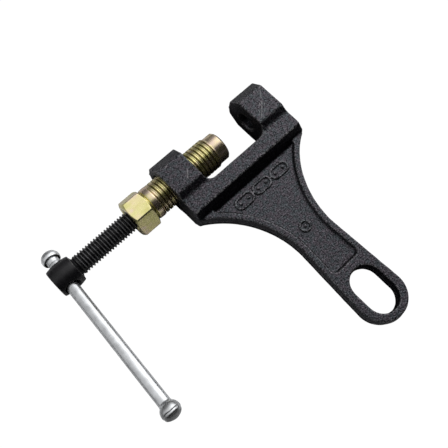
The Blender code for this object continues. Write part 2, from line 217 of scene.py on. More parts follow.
def sink_panels(body, abs_x, y, abs_z, side):
    """Recesses a panel with sloped walls into both faces."""
    wall = slope(y, abs_z, CROSSBAR_SLOPE)
    flare = 0.50 * (WEB_Z - abs_z)
    panel = meet(side + 2.0, abs_x - 21.2, 1.6)
    panel = meet(panel, -(y + 66.3), 2.4)
    panel = meet(panel + flare, -wall - 0.02, 0.9)
    cut = meet(panel, PANEL_Z - abs_z, 0.40)
    return meet(body, -cut, 0.05 + 0.25 * unit(wall - 0.6))


def bore_posts(body, x, y, z):
    """Bores the two posts along X, each with flared mouths."""
    from_axis = np.hypot(y, z)
    abs_x = np.abs(x)
    mouth = np.abs(abs_x - 0.5 * (POST_IN_X + POST_OUT_X)) - 0.5 * (POST_OUT_X - POST_IN_X) - 0.45
    # side of the axis along X, bore radius, flare length, flare depth, edge rounding
    bores = ((-1, 6.62, 0.9, 0.8, 0.12), (1, 3.6, 0.8, 0.6, 0.2))
    for side, bore_r, flare_length, flare, edge in bores:
        bore = from_axis - bore_r - np.clip(mouth + flare_length, 0, flare)
        bored = meet(body, -np.maximum(bore, 10.0 - abs_x), edge)
        body = np.where(side * x > 0, bored, body)
    return body


def frame_form(points):
    """The frame without marks, parting line and skin."""
    x, y, z = points.T
    abs_x, abs_z = np.abs(x), np.abs(z)
    side = flank_distance(x, y)
    body = join(head_form(abs_x, y, abs_z), plate_form(abs_x, y, abs_z, side), 0.55)
    body = sink_panels(body, abs_x, y, abs_z, side)
    hanging_slot = stadium(y, x, SLOT_Y1, SLOT_Y0, SLOT_R) + 0.12 * (1 - abs_z / WEB_Z)
    body = meet(body, -hanging_slot, 0.5)
    return bore_posts(body, x, y, z)


def frame_sdf(points):
    """The finished forging; its detail is worked out only near the surface."""
    body = frame_form(points)
    near = np.abs(body) < 1.0
    x, y, z = points[near].T
    raised = meet(relief(x, y), z - PANEL_Z - MARK_HEIGHT, 0.16)
    raised = np.where(z > 0.8, raised, NO_MARK)
    value = join(body[near], raised, 0.12)
    parting = 0.16 * np.exp(-((z / 0.32) ** 2))
    value = value - parting * unit(1.0 - np.abs(value)) * (np.hypot(y, z) > 8.5)
    body[near] = value + 0.035 * noise(x, y, z, 3.1, 1) + 0.02 * noise(x, y, z, 1.1, 2)
    return body


# -------------------------------------------------------------------------- threads
SCREW_PITCH, GUIDE_PITCH = 1.25, 1.75
GUIDE_SHIFT = 0.72  # places the guide thread's roots along X


def thread_phase(x, theta, pitch, shift):
    return np.mod((x - shift) / pitch - theta / (2 * math.pi), 1.0)


def thread(x, theta, pitch, crest_flat=0.16, root_flat=0.14, shift=0.0):
    """Depth share 0..1 of a right-hand thread along +X: 0 on the crest, 1 in the root."""
    height = np.abs(thread_phase(x, theta, pitch, shift) - 0.5) * 2.0
    return unit((1.0 - crest_flat - height) / (1.0 - crest_flat - root_flat))


def crest_seam(x, theta, pitch, width, shift):
    """Share 0..1 of the shallow seam along the middle of a crest."""
    phase = thread_phase(x, theta, pitch, shift)
    away = np.minimum(phase, 1.0 - phase) * pitch
    return np.exp(-((away / width) ** 2))


# The push screw in its own frame: X along the axis from the middle of its head
SCREW_HEAD_HALF = 4.675
SCREW_HEAD_END_R, SCREW_HEAD_MID_R = 5.36, 5.97
SCREW_MAJOR_R, SCREW_THREAD_DEPTH = 3.97, 0.70
SCREW_END_X = 44.5
HOLE_OFFSET = -0.535  # X of the cross hole


def screw_sdf(points):
    """Push screw: barrel-shaped head, threaded shank, cross hole along Y."""
    x, y, z = points.T
    radius = np.hypot(y, z)
    theta = np.arctan2(z, y)

    along = np.clip(x / SCREW_HEAD_HALF, -1.2, 1.2)
    swell = (SCREW_HEAD_MID_R - SCREW_HEAD_END_R) * (1 - along * along)
    barrel = radius - (SCREW_HEAD_END_R + swell)
    head = meet(barrel * 0.97, np.abs(x) - SCREW_HEAD_HALF, 0.38)

    depth = SCREW_THREAD_DEPTH * thread(x, theta, SCREW_PITCH)
    fade = unit((x - 5.9) / 1.2) * unit((41.6 - x) / 0.5)
    undercut = 0.55 * (1 - unit((x - 5.3) / 0.8))
    shank_r = SCREW_MAJOR_R - depth * fade - undercut
    tip_r = np.maximum(4.0 - np.maximum(x - 41.2, 0), 3.1)
    shank = (radius - np.minimum(shank_r, tip_r)) * 0.62
    shank = np.maximum(meet(shank, x - SCREW_END_X, 0.35), -x)

    shoulder = (radius - 4.3 + np.maximum(x - SCREW_HEAD_HALF, 0) * 1.4) * 0.58
    shoulder = np.maximum(meet(shoulder, x - 5.1, 0.2), -x)

    body = join(head, join(shank, shoulder, 0.2), 0.3)
    hole = np.hypot(x - HOLE_OFFSET, z) - 2.85 - np.maximum(np.abs(y) - 4.6, 0) * 0.5
    return meet(body, -hole, 0.28) + 0.012 * noise(x, y, z, 1.4, 5)


# --------------------------------------------------------- meshes of distance fields
BLOCK = 8  # grid cells along a block's side
CHUNK = 400000  # points worked out at a time


def evaluate(sdf, points):
    out = np.empty(len(points), np.float64)
    for i in range(0, len(points), CHUNK):
        out[i : i + CHUNK] = sdf(points[i : i + CHUNK])
    return out


def grid_points(axes):
    return np.stack(np.meshgrid(*axes, indexing="ij"), -1).reshape(-1, len(axes))


def sample_grid(sdf, low, high, step, lipschitz):
    """Field values on a grid: exact in blocks the surface may cross, coarse elsewhere."""
    counts = np.ceil((np.array(high, float) - low) / step / BLOCK).astype(int)
    centres = grid_points([(np.arange(count) + 0.5) * BLOCK * step for count in counts]) + low
    coarse = evaluate(sdf, centres)
    reach = 0.5 * math.sqrt(3) * (BLOCK + 1) * step * lipschitz
    active = np.flatnonzero(np.abs(coarse) < reach)
    grid = coarse.reshape(counts)
    for axis in range(3):
        grid = np.repeat(grid, BLOCK, axis)
    grid = np.pad(grid, ((0, 1), (0, 1), (0, 1)), mode="edge").astype(np.float32)
    blocks = np.stack(np.unravel_index(active, counts), -1)
    local = grid_points([np.arange(BLOCK + 1)] * 3)
    for part in np.array_split(blocks, max(1, len(blocks) // 400)):
        index = (part[:, None, :] * BLOCK + local[None]).reshape(-1, 3)
        grid[tuple(index.T)] = evaluate(sdf, low + index * step)
    return grid


def net_points(grid, inside):
    """The cells the surface crosses, and a point in each, both in grid steps."""
    size = np.array(grid.shape) - 1
    filled = np.zeros(tuple(size), np.int8)
    for corner in CORNERS:
        filled += inside[tuple(slice(a, a + count) for a, count in zip(corner, size))]
    cells = np.argwhere((filled > 0) & (filled < 8))
    values = np.stack([grid[tuple((cells + corner).T)] for corner in CORNERS], 1).astype(float)
    total, crossings = np.zeros((len(cells), 3)), np.zeros(len(cells))
    for (i, one), (j, two) in itertools.combinations(enumerate(CORNERS), 2):
        one, two = np.array(one, float), np.array(two, float)
        if np.abs(one - two).sum() != 1:
            continue
        start, end = values[:, i], values[:, j]
        cross = (start < 0) != (end < 0)
        share = np.where(cross, start / np.where(cross, start - end, 1.0), 0.0)
        total += (one + share[:, None] * (two - one)) * cross[:, None]
        crossings += cross
    return cells, cells + total / crossings[:, None]


def net_quads(inside, cells):
    """A quad around every grid edge the surface crosses."""
    shape = inside.shape
    ids = np.full(tuple(np.array(shape) - 1), -1, np.int64)
    ids[tuple(cells.T)] = np.arange(len(cells))
    quads = []
    for axis in range(3):
        side, up = (axis + 1) % 3, (axis + 2) % 3
        here = [slice(None)] * 3
        after = [slice(None)] * 3
        here[axis], after[axis] = slice(0, -1), slice(1, None)
        edges = np.argwhere(inside[tuple(here)] != inside[tuple(after)])
        keep = (edges[:, side] > 0) & (edges[:, up] > 0)
        keep &= (edges[:, side] < shape[side] - 1) & (edges[:, up] < shape[up] - 1)
        edges = edges[keep]
        first = inside[tuple(edges.T)]
        ring = []
        for side_step, up_step in ((-1, -1), (0, -1), (0, 0), (-1, 0)):
            cell = edges.copy()
            cell[:, side] += side_step
            cell[:, up] += up_step
            ring.append(ids[tuple(cell.T)])
        around = np.stack(ring, 1)
        around[~first] = around[~first][:, ::-1]
        quads.append(around)
    quads = np.concatenate(quads)
    return quads[(quads >= 0).all(1)]


def gradient(sdf, points, reach):
    out = np.empty_like(points)
    for axis, offset in enumerate(np.eye(3) * reach):
        change = evaluate(sdf, points + offset) - evaluate(sdf, points - offset)
        out[:, axis] = change / (2 * reach)
    return out


def settle(sdf, points, step):
    """Moves the points onto the zero surface."""
    for _ in range(2):
        value = evaluate(sdf, points)
        grad = gradient(sdf, points, step * 0.15)
        move = value[:, None] * grad / np.maximum((grad * grad).sum(1), 0.05)[:, None]
        length = np.linalg.norm(move, axis=1)
        move *= np.minimum(1.0, 0.6 * step / np.maximum(length, 1e-9))[:, None]
        points = points - move
    return points


def surface(sdf, low, high, step, bend_reach, lipschitz=1.1):
    """Points and quads of the zero surface by surface nets, and its bend: > 0 on edges."""
    low = np.array(low, float)
    grid = sample_grid(sdf, low, high, step, lipschitz)
    inside = grid < 0
    cells, points = net_points(grid, inside)
    quads = net_quads(inside, cells)
    points = settle(sdf, low + points * step, step)
    bend = -6.0 * evaluate(sdf, points)
    for offset in np.eye(3) * bend_reach:
        for sign in (-1, 1):
            bend += evaluate(sdf, points + sign * offset)
    return points, quads, bend / bend_reach


# ------------------------------------------------------------------- mesh building
def set_attribute(mesh, name, values):
    layer = mesh.attributes.new(name, "FLOAT", "POINT")
    layer.data.foreach_set("value", np.asarray(values, np.float32))


def make_object(name, points, faces, material, place=None, attributes=None):
    """A mesh object from points in mm from the screw axis, or in the frame `place`."""
    points = np.asarray(points, float)
    if place is not None:
        points = points @ place[:3, :3].T + place[:3, 3]
    points = (points + AXIS) * MM
    mesh = bpy.data.meshes.new(name)
    if isinstance(faces, np.ndarray):
        sides = faces.shape[1]
        mesh.vertices.add(len(points))
        mesh.vertices.foreach_set("co", points.astype(np.float32).ravel())
        mesh.loops.add(faces.size)
        mesh.loops.foreach_set("vertex_index", faces.astype(np.int32).ravel())
        mesh.polygons.add(len(faces))
        starts = np.arange(0, faces.size, sides, dtype=np.int32)
        mesh.polygons.foreach_set("loop_start", starts)
        mesh.update(calc_edges=True)
    else:
        mesh.from_pydata(points.tolist(), [], faces)
    mesh.validate()
    for key, values in (attributes or {}).items():
        set_attribute(mesh, key, values)
    mesh.shade_smooth()
    obj = bpy.data.objects.new(name, mesh)
    bpy.context.scene.collection.objects.link(obj)
    mesh.materials.append(material)
    return obj


def sharpen(obj, degrees):
    obj.data.set_sharp_from_angle(angle=math.radians(degrees))


def register(obj, piece, rides):
    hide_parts(piece)
    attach(obj, rides)


def rounded(corners, steps):
    """A profile (x, radius) with rounded corners, from (x, radius, rounding) corners."""
    out = [corners[0][:2]]
    for before, corner, after in zip(corners, corners[1:], corners[2:]):
        tip = np.array(corner[:2], float)
        back, ahead = np.array(before[:2], float) - tip, np.array(after[:2], float) - tip
        back_length, ahead_length = np.linalg.norm(back), np.linalg.norm(ahead)
        back, ahead = back / back_length, ahead / ahead_length
        half = 0.5 * math.acos(max(-1.0, min(1.0, float(back @ ahead))))
        radius = corner[2]
        if radius <= 0 or half > math.radians(88):
            out.append(tuple(tip))
            continue
        trim = min(radius / math.tan(half), 0.48 * back_length, 0.48 * ahead_length)
        radius = trim * math.tan(half)
        middle = back + ahead
        centre = tip + middle / np.linalg.norm(middle) * (radius / math.sin(half))
        start, end = tip + back * trim - centre, tip + ahead * trim - centre
        angle = math.atan2(start[1], start[0])
        turn = math.atan2(start[0] * end[1] - start[1] * end[0], float(start @ end))
        for k in range(steps + 1):
            at = angle + turn * k / steps
            out.append((centre[0] + radius * math.cos(at), centre[1] + radius * math.sin(at)))
    out.append(corners[-1][:2])
    return out


def densify(profile, limit):
    """Splits the profile's lines into parts no longer than the limit."""
    out = [profile[0]]
    for (x0, r0), (x1, r1) in zip(profile, profile[1:]):
        parts = max(1, int(math.ceil(math.dist((x0, r0), (x1, r1)) / limit)))
        for k in range(1, parts + 1):
            out.append((x0 + (x1 - x0) * k / parts, r0 + (r1 - r0) * k / parts))
    return out


def turned(name, profile, segments, material, limit, place=None, shape=None):
    """A solid turned about X from (x, radius) points; the profile's ends lie on the axis.

    `shape` moves the points a little."""
    profile = densify(profile, limit)
    body = profile[1:-1]
    theta = np.tile(np.arange(segments) * 2 * math.pi / segments, len(body))
    x = np.repeat([point[0] for point in body], segments)
    radius = np.repeat([point[1] for point in body], segments)
    points = np.stack([x, radius * np.cos(theta), radius * np.sin(theta)], 1)
    points = np.concatenate([points, [[profile[0][0], 0, 0], [profile[-1][0], 0, 0]]])
    if shape is not None:
        points = shape(points)
    last_ring = (len(body) - 1) * segments
    ring = np.arange(len(body) - 1)[:, None] * segments
    j = np.arange(segments)[None]
    k = (j + 1) % segments
    quads = np.stack([ring + k, ring + segments + k, ring + segments + j, ring + j], -1)
    faces = quads.reshape(-1, 4).tolist()
    first = len(body) * segments
    for j in range(segments):
        k = (j + 1) % segments
        faces.append([k, j, first])
        faces.append([last_ring + j, last_ring + k, first + 1])
    obj = make_object(name, points, faces, material, place)
    fix_direction(obj)
    return obj


def fix_direction(obj):
    """Turns the faces outwards if the enclosed volume came out negative."""
    mesh = obj.data
    mesh.calc_loop_triangles()
    coords = np.empty(len(mesh.vertices) * 3)
    mesh.vertices.foreach_get("co", coords)
    triangles = np.empty(len(mesh.loop_triangles) * 3, np.int32)
    mesh.loop_triangles.foreach_get("vertices", triangles)
    if np.linalg.det(coords.reshape(-1, 3)[triangles.reshape(-1, 3)]).sum() < 0:
        mesh.flip_normals()


def placement(origin, x_axis, y_hint):
    """A 4x4 (mm, from the screw axis) with the given X direction and Y near the hint."""
    dir_x = np.array(x_axis, float)
    dir_x /= np.linalg.norm(dir_x)
    dir_y = np.array(y_hint, float)
    dir_y -= dir_x * (dir_y @ dir_x)
    dir_y /= np.linalg.norm(dir_y)
    matrix = np.eye(4)
    matrix[:3] = np.stack([dir_x, dir_y, np.cross(dir_x, dir_y), origin], 1)
    return matrix


# ------------------------------------------------------------------------ materials
class Nodes:
    """Short calls that build the node tree of a material or world; texture sizes in mm."""

    def __init__(self, owner):
        owner.use_nodes = True
        self.owner = owner
        self.tree = owner.node_tree
        self.coords = self.tree.nodes.new("ShaderNodeTexCoord").outputs

    def add(self, kind, operation=None, **inputs):
        node = self.tree.nodes.new(kind)
        if operation:
            node.operation = operation
        for key, value in inputs.items():
            self.put(node, key, value)
        return node

    def put(self, node, key, value):
        socket = node.inputs[key.replace("_", " ") if isinstance(key, str) else key]
        if isinstance(value, bpy.types.NodeSocket):
            self.tree.links.new(value, socket)
        else:
            socket.default_value = value

    def mapping(self, size, stretch=(1, 1, 1)):
        node = self.add("ShaderNodeMapping", Vector=self.coords["Object"])
        self.put(node, "Scale", [1000.0 / size * factor for factor in stretch])
        return node.outputs[0]

    def noise(self, size, detail=2.0, rough=0.5, stretch=(1, 1, 1)):
        vector = self.mapping(size, stretch)
        settings = {"Scale": 1.0, "Detail": detail, "Roughness": rough}
        return self.add("ShaderNodeTexNoise", Vector=vector, **settings).outputs["Fac"]

    def voronoi(self, size):
        node = self.add("ShaderNodeTexVoronoi", Vector=self.mapping(size), Scale=1.0)
        return node.outputs["Distance"]

    def ramp(self, value, stops, interpolation="LINEAR"):
        """A colour ramp from stops (position, colour or grey)."""
        node = self.add("ShaderNodeValToRGB", Fac=value)
        band = node.color_ramp
        band.interpolation = interpolation
        while len(band.elements) > 1:
            band.elements.remove(band.elements[-1])
        for number, (position, colour) in enumerate(stops):
            element = band.elements.new(position) if number else band.elements[0]
            element.position = position
            rgb = colour if isinstance(colour, tuple) else (colour,) * 3
            element.color = (*rgb, 1.0)
        return node.outputs["Color"]

    def range(self, value, span, to=(0.0, 1.0), smooth=False):
        """Maps `span` to `to`, clamped."""
        node = self.add("ShaderNodeMapRange")
        if smooth:
            node.interpolation_type = "SMOOTHSTEP"
        names = ("Value", "From Min", "From Max", "To Min", "To Max")
        for key, number in zip(names, (value, *span, *to)):
            self.put(node, key, number)
        return node.outputs["Result"]

    def math(self, operation, first, second):
        node = self.add("ShaderNodeMath", operation)
        self.put(node, 0, first)
        self.put(node, 1, second)
        return node.outputs[0]

    def times(self, first, second):
        return self.math("MULTIPLY", first, second)

    def larger(self, first, second):
        return self.math("MAXIMUM", first, second)

    def mix(self, share, first, second, mode="MIX"):
        node = self.tree.nodes.new("ShaderNodeMix")
        node.data_type = "RGBA"
        node.blend_type = mode
        self.put(node, 0, share)
        for key, colour in ((6, first), (7, second)):
            self.put(node, key, (*colour, 1.0) if isinstance(colour, tuple) else colour)
        return node.outputs[2]

    def mix_shaders(self, share, first, second):
        node = self.add("ShaderNodeMixShader")
        for key, value in enumerate((share, first, second)):
            self.put(node, key, value)
        return node.outputs[0]

    def attribute(self, name):
        node = self.tree.nodes.new("ShaderNodeAttribute")
        node.attribute_name = name
        return node.outputs["Fac"]

    def camera_ray(self):
        return self.tree.nodes.new("ShaderNodeLightPath").outputs["Is Camera Ray"]

    def bumps(self, *layers):
        """Stacked bumps from layers (height, depth in mm, strength)."""
        normal = None
        for height, depth, strength in layers:
            settings = {"Height": height, "Strength": strength, "Distance": depth * MM}
            if normal is not None:
                settings["Normal"] = normal
            normal = self.add("ShaderNodeBump", **settings).outputs["Normal"]
        return normal

    def finish(self, **inputs):
        """Sets the inputs of the material's Principled shader; returns the material."""
        for key, value in inputs.items():
            self.put(self.tree.nodes["Principled BSDF"], key, value)
        return self.owner


def new_look(name):
    return Nodes(bpy.data.materials.new(name))


def forged_black():
    net = new_look("forged_black_look")
    fine = net.noise(size=0.75, detail=3.0, rough=0.65)
    grit = net.noise(size=0.42, rough=0.6)
    broad = net.noise(size=6.0, detail=3.0, rough=0.55)
    tint = net.noise(size=1.5, rough=0.55)
    grain = net.voronoi(size=0.8)
    edge, slope_shade = net.attribute("edge"), net.attribute("slope_shade")

    # coating: near black, with a faint drift of hue
    base_stops = [(0.38, (0.0005, 0.0005, 0.0006)), (0.56, (0.001, 0.001, 0.0013))]
    base = net.ramp(fine, base_stops + [(0.70, (0.010, 0.009, 0.013))])
    hue_stops = [(0.36, (0.82, 0.98, 1.02)), (0.50, (0.98, 0.96, 1.10))]
    hue = net.ramp(tint, hue_stops + [(0.62, (1.12, 0.94, 1.32))])
    colour = net.mix(1.0, base, hue, mode="MULTIPLY")
    cloudy = net.range(broad, span=(0.4, 0.65), to=(0.0, 0.3))
    colour = net.mix(cloudy, colour, second=(0.004, 0.004, 0.006))

    # bare metal on edges and rub marks, kept off the crossbar's long slope, where shade is painted
    patchy = net.range(net.noise(size=0.5, rough=0.6), span=(0.47, 0.62))
    worn = net.times(net.range(edge, span=(0.34, 0.75)), patchy)
    broken = net.range(grit, span=(0.36, 0.56), to=(0.15, 1.0))
    rubbed = net.times(net.attribute("rub"), broken)
    bare = net.larger(net.times(first=worn, second=0.45), rubbed)
    bare = net.times(bare, net.range(slope_shade, span=(0.0, 0.6), to=(1.0, 0.03)))
    colour = net.mix(bare, colour, second=(0.34, 0.335, 0.33))

    # painted shade in the hollows, and pale specks
    hollow_shade = net.range(edge, span=(-0.9, -0.2), to=(1.0, 0.0))
    colour = net.mix(net.times(hollow_shade, second=0.7), colour, second=(0.001, 0.001, 0.001))
    dots = net.range(net.noise(size=0.5, detail=1.0), span=(0.69, 0.76))
    # fewer specks on the crossbar's long slope, part of its painted shade
    speck = net.times(dots, net.range(slope_shade, span=(0.0, 0.6), to=(1.0, 0.1)))
    colour = net.mix(net.times(speck, second=0.45), colour, second=(0.16, 0.16, 0.18))

    sheen = net.ramp(tint, [(0.38, (0.80, 0.90, 0.98)), (0.6, (0.98, 0.88, 1.0))])
    gloss = net.range(net.noise(size=0.50, rough=0.6), span=(0.36, 0.64), to=(0.14, 1.42))
    # painted shade: the gloss is turned down on the crossbar's long slope
    gloss = net.times(gloss, net.range(slope_shade, span=(0.0, 1.0), to=(1.0, 0.22)))
    # (height, depth, strength)
    normal = net.bumps((fine, 0.20, 1.0), (grit, 0.06, 0.9), (grain, 0.08, 0.6), (broad, 0.10, 0.4))
    return net.finish(
        Base_Color=colour,
        Roughness=net.range(fine, span=(0.3, 0.7), to=(0.52, 0.30)),
        Metallic=0.0,
        Normal=normal,
        Specular_IOR_Level=gloss,
        Specular_Tint=sheen,
    )


def yellow_zinc():
    net = new_look("yellow_zinc_look")
    patch = net.noise(size=3.2, stretch=(0.7, 1.0, 1.0))
    streak = net.noise(size=1.3, rough=0.6, stretch=(0.35, 1.0, 1.0))
    fine = net.noise(size=0.4)
    plating = [
        (0.30, (0.64, 0.60, 0.24)),
        (0.45, (0.74, 0.69, 0.32)),
        (0.56, (0.78, 0.68, 0.38)),
        (0.66, (0.78, 0.64, 0.48)),
        (0.78, (0.68, 0.66, 0.34)),
    ]
    colour = net.ramp(patch, plating)
    streaky = net.range(streak, span=(0.48, 0.7), to=(0.0, 0.35))
    colour = net.mix(streaky, colour, second=(0.58, 0.52, 0.18))

    # pink blush on the collar and the nose, by X in metres
    along = net.add("ShaderNodeSeparateXYZ", Vector=net.coords["Object"]).outputs["X"]
    collar_start = net.range(along, span=(-0.0358, -0.0352))
    collar_end = net.range(along, span=(-0.0335, -0.0310), to=(1.0, 0.0))
    nose = net.range(along, span=(-0.0060, -0.0040))
    zones = net.larger(net.times(collar_start, collar_end), nose)
    blush = net.times(zones, net.range(streak, span=(0.40, 0.58), to=(0.25, 0.85)))
    colour = net.mix(blush, colour, second=(0.80, 0.62, 0.52))

    # painted shade in the thread roots and down the bore, and brown stains
    root_shade = net.times(net.attribute("root"), second=0.85)
    colour = net.mix(root_shade, colour, second=(0.10, 0.075, 0.020))
    blots = net.noise(size=0.9, detail=3.0, rough=0.6)
    stain = net.range(blots, span=(0.64, 0.76), to=(0.0, 0.25))
    colour = net.mix(stain, colour, second=(0.22, 0.15, 0.06))
    return net.finish(
        Base_Color=colour,
        Roughness=net.range(fine, span=(0.3, 0.7), to=(0.22, 0.30)),
        Metallic=0.93,
        Normal=net.bumps((fine, 0.003, 0.4)),  # height, depth, strength
    )


def black_oxide():
    net = new_look("black_oxide_look")
    fine = net.noise(size=0.35, rough=0.6)
    broad = net.noise(size=2.2, detail=3.0, rough=0.6)
    colour = net.ramp(broad, [(0.35, (0.006, 0.006, 0.007)), (0.7, (0.018, 0.017, 0.019))])
    # wear on edges, then lighter thread crests: wear with a painted highlight along them
    patchy = net.range(net.noise(size=0.9, rough=0.6), span=(0.40, 0.62), to=(0.1, 0.8))
    worn = net.times(net.range(net.attribute("edge"), span=(0.35, 1.2)), patchy)
    colour = net.mix(worn, colour, second=(0.085, 0.083, 0.080))
    broken = net.range(net.noise(size=2.0, rough=0.6), span=(0.38, 0.60), to=(0.15, 1.0))
    crest_wear_and_highlight = net.times(net.attribute("crest_wear_and_highlight"), broken)
    colour = net.mix(crest_wear_and_highlight, colour, second=(0.15, 0.15, 0.155))
    return net.finish(
        Base_Color=colour,
        Roughness=net.range(fine, span=(0.3, 0.7), to=(0.26, 0.42)),
        Metallic=0.0,
        Normal=net.bumps((fine, 0.015, 0.5), (broad, 0.05, 0.3)),  # height, depth, strength
        Specular_IOR_Level=0.31,
    )


def bright_zinc():
    net = new_look("bright_zinc_look")
    streak = net.noise(size=1.1, detail=3.0, rough=0.6, stretch=(1.0, 0.10, 1.0))
    patch = net.noise(size=3.5)
    fine = net.noise(size=0.3)
    painted_shade = net.attribute("painted_shade")
    colour = net.ramp(patch, [(0.32, (0.70, 0.715, 0.725)), (0.6, (0.88, 0.90, 0.91))])
    streaky = net.range(streak, span=(0.52, 0.75), to=(0.0, 0.4))
    colour = net.mix(streaky, colour, second=(0.52, 0.525, 0.53))
    blots = net.noise(size=0.8, detail=3.0, rough=0.7)
    mark = net.range(blots, span=(0.64, 0.74), to=(0.0, 0.55))
    colour = net.mix(mark, colour, second=(0.24, 0.235, 0.225))
    # painted shade: darker and rougher on the knob's end, the cap's end and in the cap's dished
    # ring
    colour = net.mix(painted_shade, colour, second=(0.075, 0.070, 0.060))
    polish = net.range(streak, span=(0.3, 0.7), to=(0.24, 0.38))
    return net.finish(
        Base_Color=colour,
        Roughness=net.larger(polish, net.range(painted_shade, span=(0.25, 0.55), to=(0.0, 0.52))),
        Metallic=0.96,
        Normal=net.bumps((fine, 0.01, 0.4), (streak, 0.02, 0.4)),  # height, depth, strength
    )


def hardened_steel():
    net = new_look("hardened_steel_look")
    rings = net.noise(size=0.6, stretch=(4.0, 0.4, 0.4))
    patch = net.noise(size=2.5)
    return net.finish(
        Base_Color=net.ramp(patch, [(0.35, (0.27, 0.26, 0.25)), (0.65, (0.42, 0.41, 0.40))]),
        Roughness=net.range(rings, span=(0.3, 0.7), to=(0.26, 0.40)),
        Metallic=0.95,
        Normal=net.bumps((rings, 0.01, 0.5)),  # height, depth, strength
    )


BLACK = forged_black()
GOLD = yellow_zinc()
OXIDE = black_oxide()
ZINC = bright_zinc()
STEEL = hardened_steel()

# --------------------------------------------------------------------- forged frame
SCRATCH_X, SCRATCH_Y = 15.5, -6.5  # where the long scratches start
# offset across, width, and the noise level above which a scratch shows
SCRATCHES = ((0.15, 0.20, -0.25), (-0.75, 0.14, 0.0), (1.15, 0.12, 0.25))
NICK_WIDTH = 0.22
# x, y, angle in degrees, length
NICKS = (
    (-18.6, -3.2, 50.0, 1.3), (-19.6, -4.4, 40.0, 0.8),
    (-16.4, 3.6, 60.0, 0.5), (-22.8, 3.9, 20.0, 0.6),
)


def rub_marks(points):
    """Share 0..1 of bare metal where the coating is scratched through or worn off."""
    x, y, z = points.T
    top = unit((z - POST_TOP_Z + 0.35) / 0.2)
    breaks = noise(x, y, z, 1.1, 21)
    # long scratches across the +X post's top, from corner to corner
    across = ((x - SCRATCH_X) - (y - SCRATCH_Y)) / math.sqrt(2)
    along = ((x - SCRATCH_X) + (y - SCRATCH_Y)) / math.sqrt(2)
    sway = 0.55 * noise(along, along * 0.0, along * 0.0, 3.5, 22)
    marks = np.zeros_like(x)
    for shift, width, level in SCRATCHES:
        line = np.exp(-(((across - shift - sway) / width) ** 2)) * (breaks > level)
        marks = np.maximum(marks, line * (along > 0.5) * (along < 15.2))
    marks *= top * (x > 0)
    # a few nicks on the -X post's top
    for nick_x, nick_y, angle, length in NICKS:
        cos, sin = math.cos(math.radians(angle)), math.sin(math.radians(angle))
        lengthwise = (x - nick_x) * cos + (y - nick_y) * sin
        sideways = -(x - nick_x) * sin + (y - nick_y) * cos
        nick = np.exp(-((lengthwise / length) ** 2) - ((sideways / NICK_WIDTH) ** 2))
        marks = np.maximum(marks, nick * top * (x < 0))
    # nicks along the crossbar's two long edges
    bar_top = unit((z - CROSSBAR_Z + 0.45) / 0.2) * (z < CROSSBAR_Z + 0.3)
    chips = unit((noise(x, y * 0.2, z * 0.2, 0.9, 23) - 0.25) * 4)
    for edge_y in (U_FLOOR_Y, CROSSBAR_Y):
        near = np.exp(-(((y - edge_y) / 0.35) ** 2)) * bar_top
        marks = np.maximum(marks, near * chips)
    return marks


def painted_slope_shade(points):
    """Share 0..1 of painted shade on the crossbar's long slope: less gloss, no wear and fewer
    specks there.
    """
    abs_z = np.abs(points[:, 2])
    wall = slope(points[:, 1], abs_z, CROSSBAR_SLOPE)
    return np.exp(-((wall / 0.35) ** 2)) * unit((5.95 - abs_z) / 0.25) * unit((abs_z - 1.9) / 0.3)


def build_frame():
    step = 0.25
    low, high = (-28.4, -92.6, -9.1), (28.4, 10.7, 9.1)
    points, quads, bend = surface(frame_sdf, low, high, step, bend_reach=0.4)
    # wear on edges and rub marks; negative edge values carry painted shade in the hollows, and the
    # third entry painted shade on the crossbar's long slope
    wear_and_painted_light = {
        "edge": np.clip(bend * 1.4, -1, 1),
        "rub": rub_marks(points),
        "slope_shade": painted_slope_shade(points),
    }
    obj = make_object("frame_forging", points, quads, BLACK, attributes=wear_and_painted_light)
    register(obj, "frame", "frame")


# ----------------------------------------------------------------------- guide bolt
HEX_START_X, HEX_END_X = -44.6, -36.4
HEX_FLAT_R, HEX_TURN = 7.22, math.radians(28.5)
HEX_BEVEL = 1.6  # length at each end with closely spaced rings
BOLT_SEGMENTS = 240
BOLT_THREAD_X = -32.95
BOLT_THREAD_DEPTH, BOLT_SEAM_DEPTH = 0.62, 0.13
NUT_BORE_R, NUT_THREAD_DEPTH, NUT_START_X = 4.12, 0.3, -6.0

# x, radius of the groove and collar behind the hexagon
COLLAR = (
    (-36.38, 6.0), (-36.2, 5.9), (-35.95, 5.9), (-35.85, 6.0), (-35.8, 6.15),
    (-35.74, 6.3), (-35.62, 6.42), (-35.4, 6.52), (-34.8, 6.56), (-34.2, 6.58),
    (-33.7, 6.60), (-33.4, 6.58), (-33.2, 6.52), (-33.05, 6.4),
)
# x, radius, rounding of the nose, ending inside its pin hole
BOLT_NOSE = (
    (-3.85, 5.9, 0), (-0.1, 5.9, 0.25), (0.6, 5.2, 0.2),
    (0.6, 3.1, 0.25), (0.2, 2.72, 0.1), (-3.0, 2.72, 0),
)
# x, radius of the inner bore's mouth at the hexagon
BORE_MOUTH = ((-43.95, 4.36), (-44.2, 4.6), (-44.45, 4.95), (-44.57, 5.15), (-44.6, 5.4))


def soft_min(first, second, blend):
    share = unit(0.5 + 0.5 * (second - first) / blend)
    return second * (1 - share) + first * share - blend * share * (1 - share)


